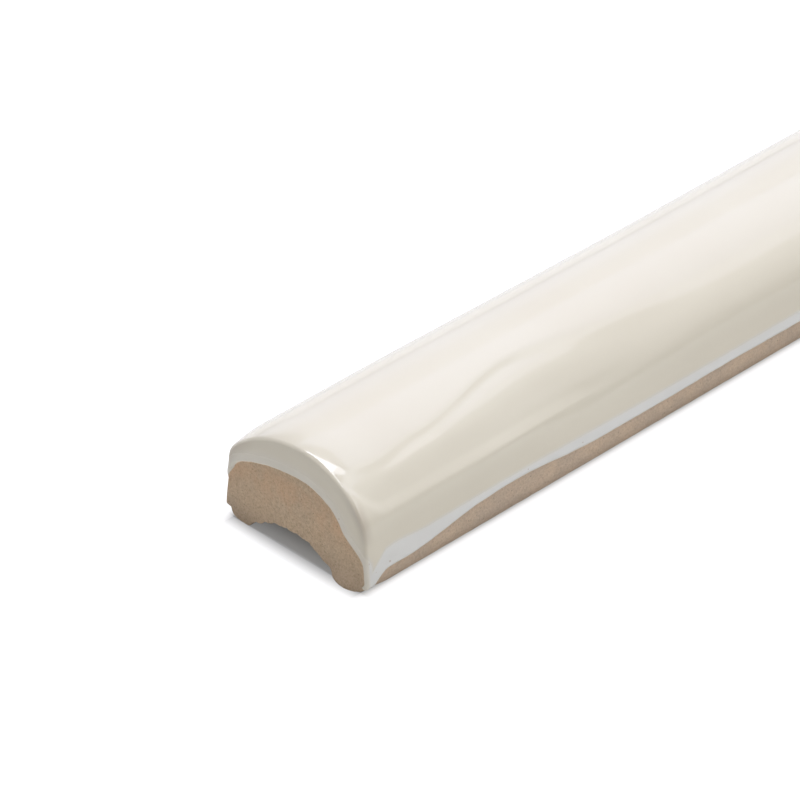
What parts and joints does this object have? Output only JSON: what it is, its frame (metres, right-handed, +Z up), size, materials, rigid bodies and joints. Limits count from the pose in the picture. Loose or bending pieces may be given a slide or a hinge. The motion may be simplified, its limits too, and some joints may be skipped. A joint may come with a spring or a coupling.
{
  "type": "pencil liner tile",
  "caption": "Slim glazed ceramic trim tile with an arched face, bare clay feet and a shallow key groove underneath.",
  "frame": {"origin": "middle of the footprint, on the plane of the two feet", "axes": "+X along the bar, away from the end with the thumb dent; +Y towards the back, the side that the ridge leans away from; +Z up out of the glazed face"},
  "size_m": [0.2, 0.02, 0.0133],
  "materials": {
    "glazed_clay": "gloss cream glaze over a white undercoat; bare pinkish tan clay on the feet, the groove and most of each end"
  },
  "bodies": {
    "root": {"liner_tile": "glazed_clay"}
  },
  "joints": []
}
